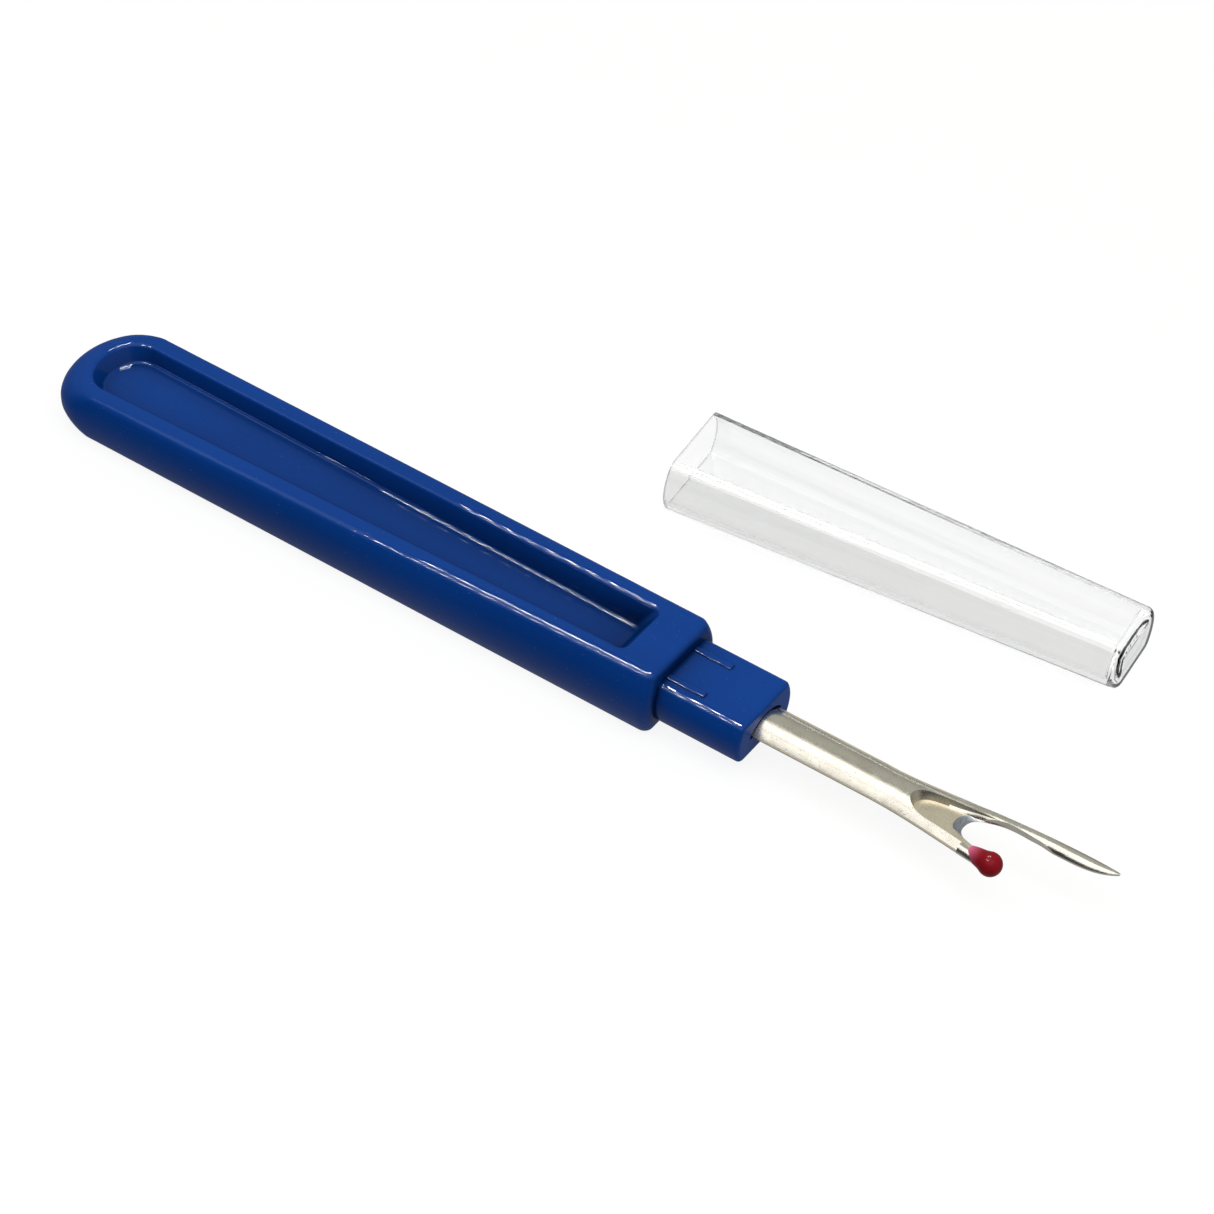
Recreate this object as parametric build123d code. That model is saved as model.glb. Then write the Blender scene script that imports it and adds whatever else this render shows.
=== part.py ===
from build123d import *
import math
import os

# Seam ripper lying on a table with its push-on cap beside it. Millimetres, +Z up, table at z = 0.
# The tool is drawn straight along +X, mid-plane on z = 0, rear end of the handle at x = 0. It is
# then laid down so that its tapering underside rests on the table. The frame's origin is on that
# underside, in the middle of the solid bridge behind the shoulder.

# handle: flat top and bottom, bulging sides, thinner and wider towards the rear
HANDLE_LENGTH = 82.4
REAR_THICKNESS = 6.3
SHOULDER_THICKNESS = 8.6
REAR_HALF_WIDTH = 7.3
SHOULDER_HALF_WIDTH = 6.7
SIDE_BULGE_RADIUS = 7.9
FRONT_BULGE = 0.2
FRONT_BULGE_RADIUS = 26.0
SHOULDER_CORNER_RADIUS = 1.25
# rear end: rounded all the way over its edge, and a little blunter than a half circle in plan
REAR_REACH = 0.8
REAR_NOSE_DEPTH = 4.2
REAR_NOSE_HALF_HEIGHT = 3.3
REAR_WALL_LEAN = 1.2
REAR_END_RATIO = 1.22
REAR_CORNER_RATIO = 0.72
BAR_LEVELS = (0.0, 1.2, 2.1, 2.7, 3.1, 3.7, 4.7)
TOP_EDGE_RADIUS = 0.8
BOTTOM_EDGE_RADIUS = 1.2

# long recess in both broad faces of the handle
WEB_THICKNESS = 2.8
RECESS_REAR_X = 2.9
RECESS_FRONT_X = 77.4
RECESS_REAR_HALF_WIDTH = 4.4
RECESS_FRONT_HALF_WIDTH = 3.65
RECESS_CORNER_RADIUS = 0.9
RECESS_WALL_SLOPE = 0.4
RECESS_FRONT_SLOPE = 0.7
RECESS_REAR_SLOPE = 0.75
RECESS_FLOOR_RADIUS = 0.4
RECESS_RIM_RADIUS = 0.45
RECESS_OVERCUT = 0.4

# neck that the cap pushes onto
NECK_LENGTH = 10.75
NECK_FLAT_HALF_WIDTH = 4.35
NECK_BULGE = 0.85
NECK_THICKNESS = 5.3
NECK_TOP_RADIUS = 0.7
NECK_BOTTOM_RADIUS = 1.1
NECK_END_RADIUS = 0.5
RIB_LENGTH = 4.8
RIB_WIDTH = 0.85
RIB_HEIGHT = 0.15
RIB_EDGE_RADIUS = 0.13
RIB_OFFSETS = (-2.75, 2.45)

# slot in the end of the neck around the blade
SLOT_DEPTH = 1.2
SLOT_SIDE_GAP = 0.3
SLOT_TOP_GAP = 0.1
SLOT_EDGE_GAP = 0.25
SLOT_GAP_BELOW = 0.2

# blade: half-round shank pressed out into a fork
TANG_X = 78.5
TANG_HALF_WIDTH = 2.2
TANG_RISE = 0.9
BLADE_BASE_Z = 0.0
BLADE_EDGE = 0.22
FLANGE_WIDTH = 0.2
SHANK_FAR_Y = 2.7
SHANK_NEAR_Y = -2.55
SHANK_RISE = 1.1
FORK_X = 109.5
PRONG_SPLIT_X = 120.6
COIN_FLOOR = 0.3
# stations along the blade: x, far edge y, near edge y, rise of the rounded top above the edges
FORK_STATIONS = (
    (FORK_X - 3.0, SHANK_FAR_Y, SHANK_NEAR_Y, SHANK_RISE),
    (FORK_X, 2.70, -2.60, 1.10),
    (113.0, 2.98, -2.86, 1.15),
    (116.8, 3.36, -3.28, 1.15),
    (PRONG_SPLIT_X, 3.62, -3.68, 1.10),
)
LONG_PRONG_STATIONS = (
    (115.0, 3.05, 1.10, 0.45),
    (118.0, 3.40, 1.60, 0.62),
    (120.6, 3.62, 1.95, 0.68),
    (124.0, 3.88, 2.25, 0.66),
    (128.0, 4.10, 2.38, 0.62),
    (130.6, 4.18, 2.55, 0.52),
    (132.2, 4.18, 2.98, 0.34),
    (133.2, 4.14, 3.48, 0.16),
    (133.8, 4.08, 3.90, 0.05),
)
SHORT_PRONG_STATIONS = (
    (118.8, -3.55, -2.20, 0.66),
    (120.4, -3.70, -2.35, 0.62),
    (122.0, -3.80, -2.50, 0.55),
)
# sunken web between the prongs: outline on its floor, and at the top of its leaning walls
COIN_FLOOR_POINTS = (
    (122.6, -2.75), (118.6, -2.35), (115.2, -1.95), (112.6, -1.35), (111.9, -0.45),
    (112.2, 0.35), (113.6, 1.10), (116.0, 1.50), (118.6, 1.85), (122.6, 2.45),
)
COIN_TOP_POINTS = (
    (122.6, -2.95), (118.4, -2.62), (114.8, -2.25), (112.0, -1.60), (111.2, -0.45),
    (111.6, 0.65), (113.4, 1.60), (116.0, 2.05), (118.5, 2.45), (122.6, 3.20),
)
COIN_TOP_Z = 1.55
CUT_APEX = (117.6, -0.05)
CUT_FAR_POINTS = ((119.3, 2.0), (121.6, 2.58), (124.6, 2.58))
CUT_FAR_END = (128.0, 2.20)
CUT_NEAR = (118.7, -1.45)
CUT_NEAR_END = (121.0, -2.30)
CUT_APEX_TANGENT = (0, 1)
CUT_FAR_TANGENT = (1, -0.15)
CUT_NEAR_TANGENT = (1, -0.4)
BEVEL_LENGTH = 1.1
CUTTING_EDGE = 0.06
CUT_BELOW = 0.5
CUT_HEIGHT = 3.0

# plastic ball on the short prong
BALL_CENTRE = (122.5, -2.98, 0.3)
BALL_RADIUS = 1.34
BALL_START = -2.6
BALL_START_RADIUS = 0.68
BALL_START_TANGENT = (1, 0.3)
BALL_NECK = (-1.85, 0.9)
BALL_AXIS_ANGLE = -6.0
BALL_FLARE_ANGLE = 26.0
BALL_MIDDLE_ANGLE = 25.0

# cap: flat top and bottom, bulging sides, tapering to its closed end
CAP_LENGTH = 55.1
CAP_END_WALL = 1.4
CAP_LONG_EDGE_RADIUS = 1.6
CAP_END_RADIUS = 0.9
CAVITY_EDGE_RADIUS = 0.35
CAVITY_END_RADIUS = 0.3
# sections: flat width, height, bulge of each side, middle height above the table
CAP_MOUTH = (10.3, 7.0, 1.5, 3.5)
CAP_END = (7.8, 6.2, 1.15, 3.1)
CAVITY_MOUTH = (9.5, 5.7, 1.15, 3.5)
CAVITY_END = (6.8, 4.9, 0.9, 3.1)
CAP_X = 63.62
CAP_Y = 29.91
CAP_YAW = 5.6

# how far a tool or an extra length reaches past the material it cuts or joins
OVERLAP = 1.0

REFERENCE_X = 79.2
LIE_ANGLE = math.degrees(math.atan((SHOULDER_THICKNESS - REAR_THICKNESS) / 2 / HANDLE_LENGTH))


def half_thickness(x):
    return (REAR_THICKNESS + (SHOULDER_THICKNESS - REAR_THICKNESS) * x / HANDLE_LENGTH) / 2


def polar(centre, radius, angle):
    return (centre[0] + radius * math.cos(angle), centre[1] + radius * math.sin(angle))


def mirrored(point):
    return (point[0], -point[1])


def paddle(rear_x, rear_half_width, front_x, front_half_width, corner_radius, z):
    """Flat outline with a round rear end and a square front end with rounded corners."""
    end_radius = REAR_END_RATIO * rear_half_width
    side_radius = REAR_CORNER_RATIO * rear_half_width
    turn = math.asin((rear_half_width - side_radius) / (end_radius - side_radius))
    end_centre = (rear_x + end_radius, 0)
    side_centre = polar(end_centre, end_radius - side_radius, math.pi - turn)
    corner = (front_x - corner_radius, front_half_width - corner_radius)
    distance = math.dist(side_centre, corner)
    lean = math.atan2(corner[1] - side_centre[1], corner[0] - side_centre[0])
    normal = lean + math.acos((side_radius - corner_radius) / distance)
    end_stop = polar(end_centre, end_radius, math.pi - turn)
    side_middle = polar(side_centre, side_radius, (math.pi - turn + normal) / 2)
    side_start = polar(side_centre, side_radius, normal)
    side_end = polar(corner, corner_radius, normal)
    corner_middle = polar(corner, corner_radius, normal / 2)
    corner_end = polar(corner, corner_radius, 0)
    edges = [
        ThreePointArc(mirrored(end_stop), (rear_x, 0), end_stop),
        ThreePointArc(end_stop, side_middle, side_start),
        Line(side_start, side_end),
        ThreePointArc(side_end, corner_middle, corner_end),
        Line(corner_end, mirrored(corner_end)),
        ThreePointArc(mirrored(corner_end), mirrored(corner_middle), mirrored(side_end)),
        Line(mirrored(side_end), mirrored(side_start)),
        ThreePointArc(mirrored(side_start), mirrored(side_middle), mirrored(end_stop)),
    ]
    return Pos(0, 0, z) * make_face([edge.edge() for edge in edges])


def arc_inset(radius, z):
    return radius - math.sqrt(radius**2 - z**2)


def nose_inset(z):
    """How far the rear end has curved back at height z: an ellipse, then a leaning wall."""
    last = BAR_LEVELS[4]
    height = min(abs(z), last)
    curve = REAR_NOSE_DEPTH * (1 - math.sqrt(1 - (height / REAR_NOSE_HALF_HEIGHT) ** 2))
    return curve + REAR_WALL_LEAN * (abs(z) - height)


def bar_outline(z):
    """Outline of the handle at height z; every side bulges most at the mid-plane."""
    inset = arc_inset(SIDE_BULGE_RADIUS, z)
    return paddle(
        nose_inset(z) - REAR_REACH,
        REAR_HALF_WIDTH - inset,
        HANDLE_LENGTH + FRONT_BULGE - arc_inset(FRONT_BULGE_RADIUS, z),
        SHOULDER_HALF_WIDTH - inset,
        SHOULDER_CORNER_RADIUS,
        z,
    )


def handle_bar():
    levels = [-z for z in BAR_LEVELS[:0:-1]] + list(BAR_LEVELS)
    block = loft([bar_outline(z) for z in levels])
    start = -REAR_REACH - OVERLAP
    end = HANDLE_LENGTH + FRONT_BULGE + OVERLAP
    profile = Polyline(
        (start, half_thickness(start)),
        (end, half_thickness(end)),
        (end, -half_thickness(end)),
        (start, -half_thickness(start)),
        close=True,
    )
    wedge = extrude(Plane.XZ * make_face(profile), amount=2 * REAR_HALF_WIDTH, both=True)
    bar = block & wedge
    bar = fillet(bar.faces().sort_by(Axis.Z)[-1].edges(), TOP_EDGE_RADIUS)
    return fillet(bar.faces().sort_by(Axis.Z)[0].edges(), BOTTOM_EDGE_RADIUS)


def recess_outline(z):
    """Outline of the recess at height z; its walls lean outwards from the floor."""
    rear_drop = half_thickness(RECESS_REAR_X) - z
    front_drop = half_thickness(RECESS_FRONT_X) - z
    return paddle(
        RECESS_REAR_X + RECESS_REAR_SLOPE * rear_drop,
        RECESS_REAR_HALF_WIDTH - RECESS_WALL_SLOPE * rear_drop,
        RECESS_FRONT_X - RECESS_FRONT_SLOPE * front_drop,
        RECESS_FRONT_HALF_WIDTH - RECESS_WALL_SLOPE * front_drop,
        RECESS_CORNER_RADIUS,
        z,
    )


def recess_cutter():
    top_z = SHOULDER_THICKNESS / 2 + RECESS_OVERCUT
    cutter = loft([recess_outline(WEB_THICKNESS / 2), recess_outline(top_z)], ruled=True)
    return fillet(cutter.faces().sort_by(Axis.Z)[0].edges(), RECESS_FLOOR_RADIUS)


def bulging_section(flat_width, height, bulge, x):
    """Closed section at x with flat top and bottom and arched sides, centred on y = z = 0."""
    y = flat_width / 2
    z = height / 2
    edges = [
        Line((x, -y, z), (x, y, z)),
        ThreePointArc((x, y, z), (x, y + bulge, 0), (x, y, -z)),
        Line((x, y, -z), (x, -y, -z)),
        ThreePointArc((x, -y, -z), (x, -y - bulge, 0), (x, -y, z)),
    ]
    return make_face([edge.edge() for edge in edges])


def neck():
    section = bulging_section(
        2 * NECK_FLAT_HALF_WIDTH, NECK_THICKNESS, NECK_BULGE, HANDLE_LENGTH - OVERLAP
    )
    solid = extrude(section, amount=NECK_LENGTH + OVERLAP, dir=(1, 0, 0))
    long_edges = solid.edges().filter_by(Axis.X)
    solid = fillet(long_edges.group_by(Axis.Z)[-1], NECK_TOP_RADIUS)
    long_edges = solid.edges().filter_by(Axis.X)
    solid = fillet(long_edges.group_by(Axis.Z)[0], NECK_BOTTOM_RADIUS)
    return fillet(solid.faces().sort_by(Axis.X)[-1].edges(), NECK_END_RADIUS)


def friction_ribs():
    rib = Box(RIB_LENGTH + OVERLAP, RIB_WIDTH, 2 * RIB_HEIGHT)
    rib = fillet(rib.edges().filter_by(Axis.X).group_by(Axis.Z)[-1], RIB_EDGE_RADIUS)
    x = HANDLE_LENGTH + (RIB_LENGTH - OVERLAP) / 2
    return [Pos(x, y, NECK_THICKNESS / 2) * rib for y in RIB_OFFSETS]


def half_round(x, far_y, near_y, rise, low=BLADE_BASE_Z, edge=BLADE_EDGE):
    """Cross-section at x: flat underside, thin upright edges and a rounded top."""
    top = low + edge
    sides = Polyline((x, near_y, top), (x, near_y, low), (x, far_y, low), (x, far_y, top))
    crest = (x, (far_y + near_y) / 2, top + rise)
    arc = ThreePointArc((x, far_y, top), crest, (x, near_y, top))
    return make_face([*sides.edges(), *arc.edges()])


def flanged_half_round(x, far_y, near_y, rise):
    """The same with a narrow flat strip, left by the pressing, between each edge and the top."""
    low = BLADE_BASE_Z
    top = low + BLADE_EDGE
    far_foot = (x, far_y - FLANGE_WIDTH, top)
    near_foot = (x, near_y + FLANGE_WIDTH, top)
    sides = Polyline(
        near_foot, (x, near_y, top), (x, near_y, low), (x, far_y, low), (x, far_y, top), far_foot
    )
    arc = ThreePointArc(far_foot, (x, (far_y + near_y) / 2, top + rise), near_foot)
    return make_face([*sides.edges(), *arc.edges()])


def shank():
    section = flanged_half_round(HANDLE_LENGTH, SHANK_FAR_Y, SHANK_NEAR_Y, SHANK_RISE)
    length = FORK_STATIONS[0][0] - HANDLE_LENGTH
    tang_section = half_round(TANG_X, TANG_HALF_WIDTH, -TANG_HALF_WIDTH, TANG_RISE)
    tang = extrude(tang_section, amount=HANDLE_LENGTH - TANG_X, dir=(1, 0, 0))
    return extrude(section, amount=length, dir=(1, 0, 0)) + tang


def half_round_loft(stations):
    return loft([half_round(*station) for station in stations])


def flanged_loft(stations):
    return loft([flanged_half_round(*station) for station in stations])


def closed_spline_face(points, z):
    curve = Spline(*[(x, y, z) for x, y in points])
    return make_face([*curve.edges(), *Line(curve @ 1, curve @ 0).edges()])


def coined_web():
    """The sunken area between the prongs, with leaning walls."""
    floor = closed_spline_face(COIN_FLOOR_POINTS, BLADE_BASE_Z + COIN_FLOOR)
    top = closed_spline_face(COIN_TOP_POINTS, COIN_TOP_Z)
    return loft([floor, top], ruled=True)


def cut_face(shift, z):
    """U-shaped opening of the fork at height z, moved back along X by shift."""
    apex = (CUT_APEX[0] - shift, CUT_APEX[1])
    first_far = (CUT_FAR_POINTS[0][0] - shift / 2, CUT_FAR_POINTS[0][1])
    far_points = (apex, first_far, *CUT_FAR_POINTS[1:], CUT_FAR_END)
    first_near = (CUT_NEAR[0] - shift / 2, CUT_NEAR[1])
    far = Spline(*far_points, tangents=[CUT_APEX_TANGENT, CUT_FAR_TANGENT])
    near_tangents = [mirrored(CUT_APEX_TANGENT), CUT_NEAR_TANGENT]
    near = Spline(apex, first_near, CUT_NEAR_END, tangents=near_tangents)
    close = Polyline(CUT_FAR_END, (CUT_FAR_END[0], CUT_NEAR_END[1]), CUT_NEAR_END)
    return Pos(0, 0, z) * make_face([*far.edges(), *near.edges(), *close.edges()])


def fork_opening():
    straight = extrude(cut_face(0, BLADE_BASE_Z - CUT_BELOW), amount=CUT_HEIGHT)
    edge = cut_face(0, BLADE_BASE_Z + CUTTING_EDGE)
    ground = cut_face(BEVEL_LENGTH, BLADE_BASE_Z + COIN_FLOOR)
    bevel = loft([edge, ground], ruled=True)
    return straight + bevel


def make_blade():
    fork = flanged_loft(FORK_STATIONS) - coined_web()
    body = shank() + fork + half_round_loft(LONG_PRONG_STATIONS)
    body = body + half_round_loft(SHORT_PRONG_STATIONS)
    return body - fork_opening()


def make_ball():
    """Teardrop bead turned about the short prong's own direction."""
    start = (BALL_START, BALL_START_RADIUS)
    flare = math.radians(BALL_FLARE_ANGLE)
    joint = polar((0, 0), BALL_RADIUS, math.pi / 2 + flare)
    middle = polar((0, 0), BALL_RADIUS, math.pi / 2 - math.radians(BALL_MIDDLE_ANGLE))
    neck_line = Spline(start, BALL_NECK, joint, tangents=[BALL_START_TANGENT, (1, math.tan(flare))])
    round_end = ThreePointArc(joint, middle, (BALL_RADIUS, 0))
    axis_line = Polyline((BALL_RADIUS, 0), (BALL_START, 0), start)
    profile = make_face([*neck_line.edges(), *round_end.edges(), *axis_line.edges()])
    bead = revolve(profile, Axis.X)
    return Pos(*BALL_CENTRE) * Rot(0, 0, BALL_AXIS_ANGLE) * bead


def grip():
    """The handle's bar with both recesses, their rims rounded over."""
    cutter = recess_cutter()
    bar = handle_bar() - cutter - mirror(cutter, Plane.XY)
    rims = [wire for face in bar.faces() for wire in face.inner_wires()]
    return fillet([edge for rim in rims for edge in rim.edges()], RECESS_RIM_RADIUS)


def blade_slot():
    section = half_round(
        HANDLE_LENGTH + NECK_LENGTH - SLOT_DEPTH,
        SHANK_FAR_Y + SLOT_SIDE_GAP,
        SHANK_NEAR_Y - SLOT_SIDE_GAP,
        SHANK_RISE + SLOT_TOP_GAP,
        BLADE_BASE_Z - SLOT_GAP_BELOW,
        BLADE_EDGE + SLOT_EDGE_GAP,
    )
    return extrude(section, amount=SLOT_DEPTH + OVERLAP, dir=(1, 0, 0))


def make_handle(blade):
    handle = grip() + neck()
    for rib in friction_ribs():
        handle = handle + rib
    return handle - blade_slot() - blade


def cap_solid(mouth, end, end_x):
    """Tapering solid between two sections given as flat width, height, bulge, middle height."""
    sections = []
    for x, (flat, height, bulge, middle) in ((0, mouth), (end_x, end)):
        sections.append(Pos(0, 0, middle) * bulging_section(flat, height, bulge, x))
    return loft(sections, ruled=True)


def rounded_along(solid, radius):
    """Round the four edges that run from the mouth to the closed end."""
    ends = [solid.faces().sort_by(Axis.X)[0], solid.faces().sort_by(Axis.X)[-1]]
    end_edges = ends[0].edges() + ends[1].edges()
    long_edges = [edge for edge in solid.edges() if edge not in end_edges]
    return fillet(long_edges, radius)


def make_cap():
    """Cap along +X from its mouth at x = 0, its underside on z = 0."""
    outer = cap_solid(CAP_MOUTH, CAP_END, CAP_LENGTH)
    outer = rounded_along(outer, CAP_LONG_EDGE_RADIUS)
    outer = fillet(outer.faces().sort_by(Axis.X)[-1].edges(), CAP_END_RADIUS)
    hollow = cap_solid(CAVITY_MOUTH, CAVITY_END, CAP_LENGTH - CAP_END_WALL)
    hollow = rounded_along(hollow, CAVITY_EDGE_RADIUS)
    hollow = fillet(hollow.faces().sort_by(Axis.X)[-1].edges(), CAVITY_END_RADIUS)
    return outer - hollow


def lay_down(shape):
    """Move a piece of the tool from its straight drawing position onto the table."""
    lift = REAR_THICKNESS / 2 * math.cos(math.radians(LIE_ANGLE))
    return Pos(-REFERENCE_X, 0, lift) * Rot(0, -LIE_ANGLE, 0) * shape


def main():
    blade = make_blade()
    ball = make_ball() - blade
    handle = make_handle(blade)
    nodes = {
        "handle": lay_down(handle),
        "blade": lay_down(blade),
        "tip_ball": lay_down(ball),
        "cap": Pos(CAP_X - REFERENCE_X, CAP_Y, 0) * Rot(0, 0, CAP_YAW) * make_cap(),
    }
    os.makedirs("parts", exist_ok=True)
    for name, shape in nodes.items():
        export_step(shape, f"parts/{name}.step")
        print(name, round(shape.volume, 1), len(shape.solids()), shape.is_valid)


main()
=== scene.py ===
"""Seam ripper with its clear cap: materials, floor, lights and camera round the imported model."""
import math

import bmesh
import bpy
from mathutils import Matrix, Vector


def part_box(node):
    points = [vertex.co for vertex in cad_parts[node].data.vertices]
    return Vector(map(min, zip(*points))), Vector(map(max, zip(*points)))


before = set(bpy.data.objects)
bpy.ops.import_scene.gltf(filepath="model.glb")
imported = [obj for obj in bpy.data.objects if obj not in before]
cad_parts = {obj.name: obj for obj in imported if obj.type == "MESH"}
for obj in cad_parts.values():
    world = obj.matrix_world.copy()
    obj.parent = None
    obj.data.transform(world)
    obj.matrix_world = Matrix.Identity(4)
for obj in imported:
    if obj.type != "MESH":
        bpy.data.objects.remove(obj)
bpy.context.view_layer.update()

MM = 0.001

# the paper: a flat floor that turns up into a dome, rings in metres
FLOOR_RADIUS = 1.6
FLOOR_INNER_RADII = (0.02, 0.3)
DOME_BULGE = 0.6
DOME_HEIGHT = 3.0
DOME_STEPS = 24
RING_CORNERS = 96
PAPER_GREY = 0.16
PAPER_GLOW = 0.88
# it lies a hair below the flat undersides, so that the two never coincide
FLOOR_DROP = 0.03 * MM

# camera, as in the reference view
CAMERA_AZIMUTH = 31.79
CAMERA_ELEVATION = 44.66
CAMERA_ROLL = 4.52
CAMERA_LENS = 116.07
SENSOR = 36.0
CAMERA_PLACE = Vector((0.14920, -0.25150, 0.30140))
CAMERA_CLIP = (0.02, 20)

# the light box over the object
CEILING_HEIGHT = 0.60
CEILING_FAR = 13.0
CEILING_NEAR = 52.0
CEILING_LEFT = 0.46
CEILING_RIGHT = 0.55
CEILING_LIGHT = 1.32
# rows of small lamps: how far they hang below the panel, then each row's angle from overhead
# towards the far side and its brightness
LED_DROP = 0.01
LED_ROWS = ((24.0, 280.0), (-22.0, 130.0))
LED_LIT = ("handle", "tip_ball", "cap")
LED_COLOUR = (0.82, 0.91, 1.0)
LED_LEFT = -0.36
LED_RIGHT = -0.09
LED_PITCH = 0.0076
LED_SIZE = (0.0026, 0.120)
ROOM_COLOUR = (0.455, 0.464, 0.423)
# each zone: the axis of the view direction, where the zone starts and is full, and its colour
ROOM_ZONES = (
    ("Z", 0.45, 0.0, (0.26, 0.26, 0.25)),
    ("Y", -0.25, -0.6, (0.05, 0.055, 0.06)),
    ("Z", -0.35, -0.95, (0.58, 0.58, 0.58)),
)

# colours, linear; a pair runs from the darker to the lighter patches
BLUE = ((0.0026, 0.052, 0.300), (0.0040, 0.062, 0.345))
BLUE_SPECK = (0.20, 0.30, 0.48)
# painted shade: the dark blue that the handle turns deep in its recesses
BLUE_PAINTED_SHADE = (0.0004, 0.008, 0.045)
NICKEL = ((0.71, 0.67, 0.58), (0.81, 0.775, 0.69))
NICKEL_COINED = ((0.88, 0.78, 0.62), (0.98, 0.89, 0.73))
NICKEL_PIT = (0.30, 0.25, 0.20)
STEEL_GROUND = ((0.28, 0.295, 0.345), (0.45, 0.465, 0.53))
RED = ((0.25, 0.007, 0.014), (0.37, 0.012, 0.023))
RED_THIN = (0.97, 0.22, 0.40)
# clear plastic: seen face on, and seen edge on, where the greyer colour is painted shade
CLEAR = ((0.985, 0.988, 0.986), (0.85, 0.855, 0.87))
# painted shade: the front side wall's greyer colours, for the shade seen through that wall
CLEAR_SIDE_PAINTED_SHADE = ((0.80, 0.80, 0.79), (0.66, 0.66, 0.67))
# painted shade: the mouth rim's grey colours, which with its lower clarity below stand in for the grey
# outline round the mouth
CLEAR_RIM_PAINTED_SHADE = ((0.42, 0.43, 0.45), (0.36, 0.37, 0.39))
RIM_CLARITY = 0.4

# the clear walls need many bounces
MOST_BOUNCES = 24
GLOSSY_BOUNCES = 16

# roughness of the two nickel finishes
NICKEL_ROUGHNESS = 0.20
COINED_ROUGHNESS = 0.24

# zones of the blade: low on it and facing up, either level or leaning
ZONE_HEIGHT = 0.34 * MM
UPWARD = 0.9
LEVEL = 0.995
# the cap's mouth rim, which takes painted shade, faces this squarely along -X and lies this close to its
# end
LEVEL_RIM = 0.99
RIM_DEPTH = 3 * MM
# its front side wall, which takes painted shade, faces this squarely along Y and lies this far from the
# axis
SIDEWAYS = 0.75
SIDE_REACH = 2 * MM


def set_camera():
    """The camera of the reference view, with the world's Z up except for a slight roll."""
    azimuth = math.radians(CAMERA_AZIMUTH)
    elevation = math.radians(CAMERA_ELEVATION)
    roll = math.radians(CAMERA_ROLL)
    back = Vector((
        math.sin(azimuth) * math.cos(elevation),
        -math.cos(azimuth) * math.cos(elevation),
        math.sin(elevation),
    ))
    level = Vector((math.cos(azimuth), math.sin(azimuth), 0))
    upright = back.cross(level)
    right = level * math.cos(roll) + upright * math.sin(roll)
    up = back.cross(right)
    data = bpy.data.cameras.new("camera")
    data.lens = CAMERA_LENS
    data.sensor_width = SENSOR
    data.clip_start, data.clip_end = CAMERA_CLIP
    camera = bpy.data.objects.new("camera", data)
    turn = Matrix((right, up, back)).transposed()
    camera.matrix_world = Matrix.Translation(CAMERA_PLACE) @ turn.to_4x4()
    bpy.context.scene.collection.objects.link(camera)
    bpy.context.scene.camera = camera


def add_mesh(name, build):
    """A mesh object whose bmesh is filled in by build."""
    shape = bmesh.new()
    build(shape)
    mesh = bpy.data.meshes.new(name)
    shape.to_mesh(mesh)
    shape.free()
    thing = bpy.data.objects.new(name, mesh)
    bpy.context.scene.collection.objects.link(thing)
    return thing


def emission_material(name, colour, strength):
    material = bpy.data.materials.new(name)
    material.use_nodes = True
    tree = material.node_tree
    tree.nodes.clear()
    out = tree.nodes.new("ShaderNodeOutputMaterial")
    light = tree.nodes.new("ShaderNodeEmission")
    light.inputs["Color"].default_value = (*colour, 1)
    light.inputs["Strength"].default_value = strength
    tree.links.new(light.outputs[0], out.inputs["Surface"])
    return material


def cove_material():
    """White paper, lit evenly, that still takes a faint shadow."""
    material = bpy.data.materials.new("white_paper")
    material.use_nodes = True
    tree = material.node_tree
    shader = tree.nodes["Principled BSDF"]
    shader.inputs["Base Color"].default_value = (PAPER_GREY, PAPER_GREY, PAPER_GREY, 1)
    shader.inputs["Roughness"].default_value = 1.0
    shader.inputs["Specular IOR Level"].default_value = 0.0
    shader.inputs["Emission Color"].default_value = (1, 1, 1, 1)
    shader.inputs["Emission Strength"].default_value = PAPER_GLOW
    return material


def ring_surface(rings):
    """Builds a turned surface through rings given as (radius, height)."""
    def build(shape):
        turns = [2 * math.pi * k / RING_CORNERS for k in range(RING_CORNERS)]
        loops = [
            [shape.verts.new((radius * math.cos(t), radius * math.sin(t), height)) for t in turns]
            for radius, height in rings
        ]
        for low, high in zip(loops, loops[1:]):
            for k in range(RING_CORNERS):
                n = (k + 1) % RING_CORNERS
                shape.faces.new((low[k], low[n], high[n], high[k]))
        if rings[0][1] == 0:
            shape.faces.new(loops[0][::-1])
    return build


def add_cove():
    """A seamless white floor that turns up into a dome."""
    floor = [(radius, 0) for radius in (*FLOOR_INNER_RADII, FLOOR_RADIUS)]
    dome = []
    for i in range(DOME_STEPS):
        a = math.pi * i / DOME_STEPS
        dome.append((FLOOR_RADIUS + DOME_BULGE * math.sin(a), DOME_HEIGHT / 2 * (1 - math.cos(a))))
    dome.append((FLOOR_INNER_RADII[0], DOME_HEIGHT))
    paper = cove_material()
    for name, rings in (("floor", floor), ("backdrop", dome)):
        piece = add_mesh(name, ring_surface(rings))
        piece.data.materials.append(paper)
        piece.data.polygons.foreach_set("use_smooth", [True] * len(piece.data.polygons))
        piece.visible_diffuse = False
        piece.visible_glossy = False
        piece.visible_shadow = False
        piece.location.z = -FLOOR_DROP


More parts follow.
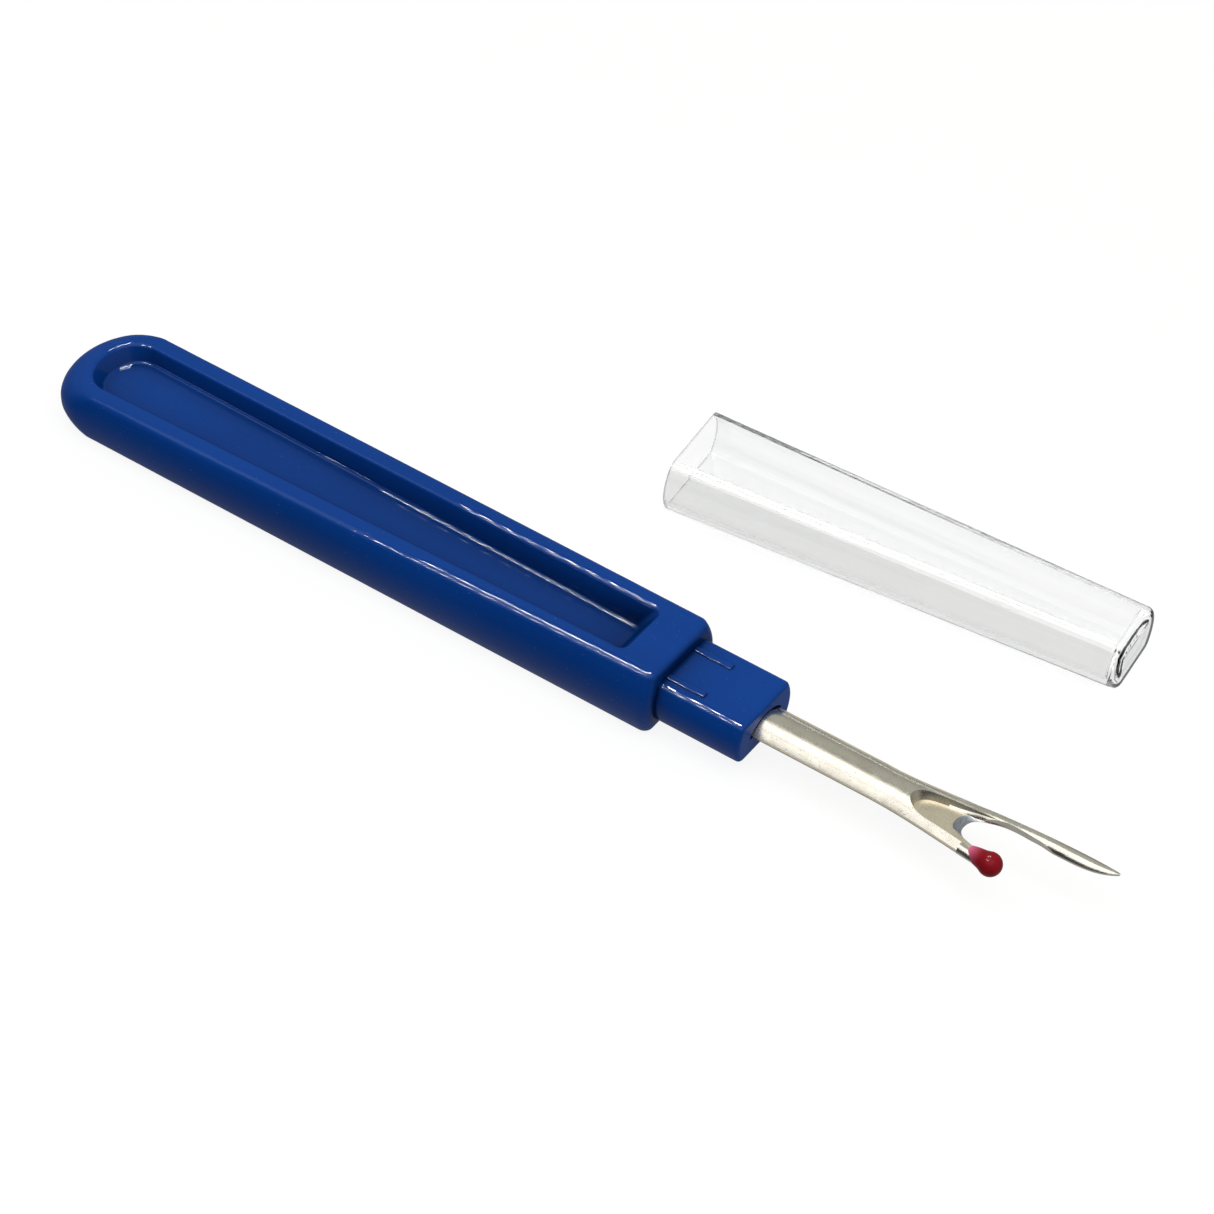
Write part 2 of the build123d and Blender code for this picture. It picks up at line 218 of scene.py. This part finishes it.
def add_ceiling():
    """The bright panel over the object."""
    far = CEILING_HEIGHT * math.tan(math.radians(CEILING_FAR))
    near = -CEILING_HEIGHT * math.tan(math.radians(CEILING_NEAR))
    data = bpy.data.lights.new("ceiling", "AREA")
    data.shape = "RECTANGLE"
    data.size = CEILING_LEFT + CEILING_RIGHT
    data.size_y = far - near
    data.energy = CEILING_LIGHT * math.pi * data.size * data.size_y
    light = bpy.data.objects.new("ceiling", data)
    light.location = ((CEILING_RIGHT - CEILING_LEFT) / 2, (far + near) / 2, CEILING_HEIGHT)
    light.visible_camera = False
    bpy.context.scene.collection.objects.link(light)


def add_led_row(name, angle, brightness):
    """A row of small lamps whose reflections make the dashes along the edges."""
    height = CEILING_HEIGHT - LED_DROP
    lean = math.radians(angle)
    y = height * math.tan(lean)
    reach = math.hypot(CAMERA_PLACE.y, CAMERA_PLACE.z) + height / math.cos(lean)
    count = int((LED_RIGHT - LED_LEFT) / LED_PITCH)
    half_width, half_length = LED_SIZE[0] / 2, LED_SIZE[1] / 2

    def build(shape):
        for i in range(count):
            x = LED_LEFT + i * LED_PITCH
            # slanted so that its two ends reflect at the same place along an edge
            slant = (x - CAMERA_PLACE.x) / reach * math.sin(lean) * half_length
            corners = [
                shape.verts.new((x + side * half_width + end * slant, y + end * half_length, height))
                for side, end in ((-1, -1), (-1, 1), (1, 1), (1, -1))
            ]
            shape.faces.new(corners)

    lamps = add_mesh(name, build)
    lamps.data.materials.append(emission_material(name, LED_COLOUR, brightness))
    lamps.visible_camera = False
    lamps.visible_diffuse = False
    lamps.visible_transmission = False
    lit = bpy.data.collections.new(name + "_lit")
    for node in LED_LIT:
        lit.objects.link(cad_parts[node])
    lamps.light_linking.receiver_collection = lit


def set_world():
    """The room: grey behind the object, dark at the front horizon, and paper white from below."""
    world = bpy.data.worlds.new("room")
    bpy.context.scene.world = world
    world.use_nodes = True
    tree = world.node_tree
    direction = tree.nodes.new("ShaderNodeSeparateXYZ")
    tree.links.new(tree.nodes.new("ShaderNodeTexCoord").outputs["Generated"], direction.inputs[0])
    colour = None
    for axis, start, stop, tone in ROOM_ZONES:
        share = tree.nodes.new("ShaderNodeMapRange")
        share.inputs["From Min"].default_value = start
        share.inputs["From Max"].default_value = stop
        tree.links.new(direction.outputs[axis], share.inputs["Value"])
        blend = tree.nodes.new("ShaderNodeMix")
        blend.data_type = "RGBA"
        tree.links.new(share.outputs[0], blend.inputs["Factor"])
        blend.inputs[6].default_value = (*ROOM_COLOUR, 1)
        blend.inputs[7].default_value = (*tone, 1)
        if colour is not None:
            tree.links.new(colour, blend.inputs[6])
        colour = blend.outputs[2]
    tree.links.new(colour, tree.nodes["Background"].inputs["Color"])


class Nodes:
    """Short calls for building one material's node tree."""

    def __init__(self, name):
        self.material = bpy.data.materials.new(name)
        self.material.use_nodes = True
        self.tree = self.material.node_tree
        self.shader = self.tree.nodes["Principled BSDF"]
        self.place = self.tree.nodes.new("ShaderNodeTexCoord").outputs["Object"]

    def set(self, socket, value):
        self.shader.inputs[socket].default_value = value

    def drive(self, socket, output):
        self.tree.links.new(output, self.shader.inputs[socket])

    def noise(self, size, detail=3.0, roughness=0.5, stretch=(1, 1, 1)):
        """Noise whose lumps are about size metres across, times stretch along each axis."""
        mapping = self.tree.nodes.new("ShaderNodeMapping")
        mapping.inputs["Scale"].default_value = [1 / (size * s) for s in stretch]
        self.tree.links.new(self.place, mapping.inputs["Vector"])
        texture = self.tree.nodes.new("ShaderNodeTexNoise")
        texture.inputs["Scale"].default_value = 1.0
        texture.inputs["Detail"].default_value = detail
        texture.inputs["Roughness"].default_value = roughness
        self.tree.links.new(mapping.outputs[0], texture.inputs["Vector"])
        return texture.outputs[0]

    def remap(self, value, low, high, to_low=0.0, to_high=1.0):
        node = self.tree.nodes.new("ShaderNodeMapRange")
        limits = {"From Min": low, "From Max": high, "To Min": to_low, "To Max": to_high}
        for socket, number in limits.items():
            node.inputs[socket].default_value = number
        self.tree.links.new(value, node.inputs["Value"])
        return node.outputs[0]

    def math(self, operation, a, b):
        node = self.tree.nodes.new("ShaderNodeMath")
        node.operation = operation
        for socket, value in zip(node.inputs, (a, b)):
            if isinstance(value, (int, float)):
                socket.default_value = value
            else:
                self.tree.links.new(value, socket)
        return node.outputs[0]

    def mix(self, factor, a, b):
        """Colour a where factor is 0 and b where it is 1."""
        node = self.tree.nodes.new("ShaderNodeMix")
        node.data_type = "RGBA"
        self.tree.links.new(factor, node.inputs["Factor"])
        for socket, value in ((node.inputs[6], a), (node.inputs[7], b)):
            if isinstance(value, tuple):
                socket.default_value = (*value, 1)
            else:
                self.tree.links.new(value, socket)
        return node.outputs[2]

    def bump(self, height, distance, under=None):
        """A bump of that height in metres, on top of another bump."""
        node = self.tree.nodes.new("ShaderNodeBump")
        node.inputs["Strength"].default_value = 1.0
        node.inputs["Distance"].default_value = distance
        self.tree.links.new(height, node.inputs["Height"])
        if under is not None:
            self.tree.links.new(under, node.inputs["Normal"])
        return node.outputs[0]

    def painted_recess_shade(self, reach):
        """Painted shade mask: 1 deep in a recess of the piece itself, 0 out in the open."""
        node = self.tree.nodes.new("ShaderNodeAmbientOcclusion")
        node.only_local = True
        node.samples = 8
        node.inputs["Distance"].default_value = reach
        return self.remap(node.outputs["AO"], 0.50, 1.0, 1.0, 0.0)

    def axis(self, name):
        node = self.tree.nodes.new("ShaderNodeSeparateXYZ")
        self.tree.links.new(self.place, node.inputs[0])
        return node.outputs[name]


def dress(node, *materials):
    """Gives a CAD node its materials and returns its faces, which start with the first one."""
    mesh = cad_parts[node].data
    mesh.materials.clear()
    for material in materials:
        mesh.materials.append(material)
    return mesh.polygons


def blue_plastic():
    """Glossy moulded plastic: even colour with faint flow marks, handling haze and fine scratches, and
    painted shade darkening it deep in its recesses.
    """
    made = Nodes("blue_plastic_moulded")
    flow = made.noise(9 * MM, detail=2, stretch=(4, 1, 1))
    colour = made.mix(made.remap(flow, 0.35, 0.65), *BLUE)
    specks = made.remap(made.noise(0.22 * MM, detail=1), 0.74, 0.80)
    colour = made.mix(made.math("MULTIPLY", specks, 0.35), colour, BLUE_SPECK)
    # painted shade: the colour turns dark blue deep in the handle's recesses
    made.drive("Base Color", made.mix(made.painted_recess_shade(7 * MM), colour, BLUE_PAINTED_SHADE))
    haze = made.remap(made.noise(3.5 * MM, detail=4, roughness=0.6), 0.3, 0.7, 0.07, 0.13)
    scratches = made.remap(made.noise(0.10 * MM, detail=2, stretch=(40, 1, 1)), 0.62, 0.74)
    made.drive("Roughness", made.math("ADD", haze, made.math("MULTIPLY", scratches, 0.18)))
    wave = made.bump(made.noise(2.6 * MM, detail=1, stretch=(2, 1, 1)), 0.002 * MM)
    skin = made.bump(made.noise(0.12 * MM, detail=2), 0.0005 * MM, wave)
    made.drive("Normal", made.bump(scratches, 0.0015 * MM, skin))
    made.set("IOR", 1.49)
    made.set("Specular IOR Level", 0.0)
    made.set("Coat Weight", 0.34)
    made.set("Coat Roughness", 0.025)
    return made.material


def plated_steel(name, colours, roughness):
    """Nickel on pressed steel: warm grey, faintly pitted, with fine rolling marks."""
    made = Nodes(name)
    tone = made.noise(2.2 * MM, detail=3)
    colour = made.mix(made.remap(tone, 0.3, 0.7), *colours)
    pits = made.remap(made.noise(0.16 * MM, detail=1), 0.66, 0.74)
    made.drive("Base Color", made.mix(made.math("MULTIPLY", pits, 0.55), colour, NICKEL_PIT))
    made.set("Metallic", 1.0)
    haze = made.remap(made.noise(0.9 * MM, detail=3), 0.3, 0.7, roughness, roughness + 0.10)
    made.drive("Roughness", made.math("ADD", haze, made.math("MULTIPLY", pits, 0.2)))
    rolling = made.bump(made.noise(0.25 * MM, detail=2, stretch=(12, 1, 1)), 0.003 * MM)
    made.drive("Normal", made.bump(pits, -0.002 * MM, rolling))
    return made.material


def ground_steel():
    """Bare ground steel of the cutting edge, with grinding marks across it."""
    made = Nodes("ground_steel_edge")
    marks = made.noise(0.07 * MM, detail=2, stretch=(1, 14, 1))
    made.drive("Base Color", made.mix(made.remap(marks, 0.3, 0.7), *STEEL_GROUND))
    made.set("Metallic", 1.0)
    made.drive("Roughness", made.remap(marks, 0.3, 0.7, 0.24, 0.40))
    made.drive("Normal", made.bump(marks, 0.003 * MM))
    return made.material


def dress_blade():
    """The blade's plating, with the sunken web and the ground edge of the fork as zones of their own."""
    faces = dress(
        "blade",
        plated_steel("plated_steel_pressed", NICKEL, NICKEL_ROUGHNESS),
        plated_steel("plated_steel_coined", NICKEL_COINED, COINED_ROUGHNESS),
        ground_steel(),
    )
    under = max((face for face in faces if face.normal.z < -0.9), key=lambda face: face.area)
    for face in faces:
        height = (under.center - face.center).dot(under.normal)
        upward = -face.normal.dot(under.normal)
        if height < ZONE_HEIGHT and upward > UPWARD:
            face.material_index = 1 if upward > LEVEL else 2


def red_plastic():
    """Dipped red bead: deep and glossy, thinning to pink where it starts on the prong."""
    made = Nodes("red_plastic_dipped")
    low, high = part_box("tip_ball")
    along = made.remap(made.axis("X"), low.x, low.x + 0.45 * (high.x - low.x), 1.0, 0.0)
    body = made.mix(made.noise(1.1 * MM), *RED)
    made.drive("Base Color", made.mix(made.math("POWER", along, 1.8), body, RED_THIN))
    made.drive("Roughness", made.remap(made.noise(0.7 * MM, detail=3), 0.3, 0.7, 0.06, 0.16))
    made.drive("Normal", made.bump(made.noise(0.8 * MM), 0.012 * MM))
    made.set("IOR", 1.53)
    made.set("Specular IOR Level", 0.07)
    return made.material


def clear_plastic(name, colours, clarity=1.0):
    """Clear polystyrene: painted shade makes it greyer where it is seen edge on, with a trace of haze
    and moulding flow.
    """
    made = Nodes(name)
    weight = made.tree.nodes.new("ShaderNodeLayerWeight")
    weight.inputs["Blend"].default_value = 0.5
    # painted shade: the colour greys where the wall is seen edge on
    edge = made.math("POWER", made.remap(weight.outputs["Facing"], 0.30, 1.0), 0.5)
    made.drive("Base Color", made.mix(edge, *colours))
    made.set("Transmission Weight", clarity)
    made.set("IOR", 1.49)
    haze = made.noise(4 * MM, detail=4, stretch=(3, 1, 1))
    made.drive("Roughness", made.remap(haze, 0.35, 0.75, 0.0, 0.05))
    made.drive("Normal", made.bump(made.noise(5 * MM, detail=1, stretch=(3, 1, 1)), 0.006 * MM))
    return made.material


def dress_cap():
    """The cap's clear walls, the flat rim round its mouth made greyer and less clear, and the front side
    wall made greyer, both by painted shade.
    """
    faces = dress(
        "cap",
        clear_plastic("clear_plastic_moulded", CLEAR),
        clear_plastic("clear_plastic_rim_painted_shade", CLEAR_RIM_PAINTED_SHADE, RIM_CLARITY),
        clear_plastic("clear_plastic_side_painted_shade", CLEAR_SIDE_PAINTED_SHADE),
    )
    rim = min(faces, key=lambda face: face.center.x)
    low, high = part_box("cap")
    middle = (low + high) / 2
    for face in faces:
        forward = -(face.center - middle).cross(rim.normal).z
        if face.normal.x < -LEVEL_RIM and face.center.x < low.x + RIM_DEPTH:
            # painted shade: the mouth rim takes the greyer, less clear material
            face.material_index = 1
        elif abs(face.normal.y) > SIDEWAYS and forward > SIDE_REACH:
            # painted shade: the front side wall takes the greyer material
            face.material_index = 2


set_camera()
add_cove()
add_ceiling()
for number, (angle, brightness) in enumerate(LED_ROWS):
    add_led_row(f"led_row_{number}", angle, brightness)
set_world()

dress("handle", blue_plastic())
dress_blade()
dress("tip_ball", red_plastic())
dress_cap()

scene = bpy.context.scene
scene.cycles.max_bounces = MOST_BOUNCES
scene.cycles.glossy_bounces = GLOSSY_BOUNCES
scene.cycles.transmission_bounces = MOST_BOUNCES
scene.view_settings.view_transform = "Standard"
scene.view_settings.look = "None"
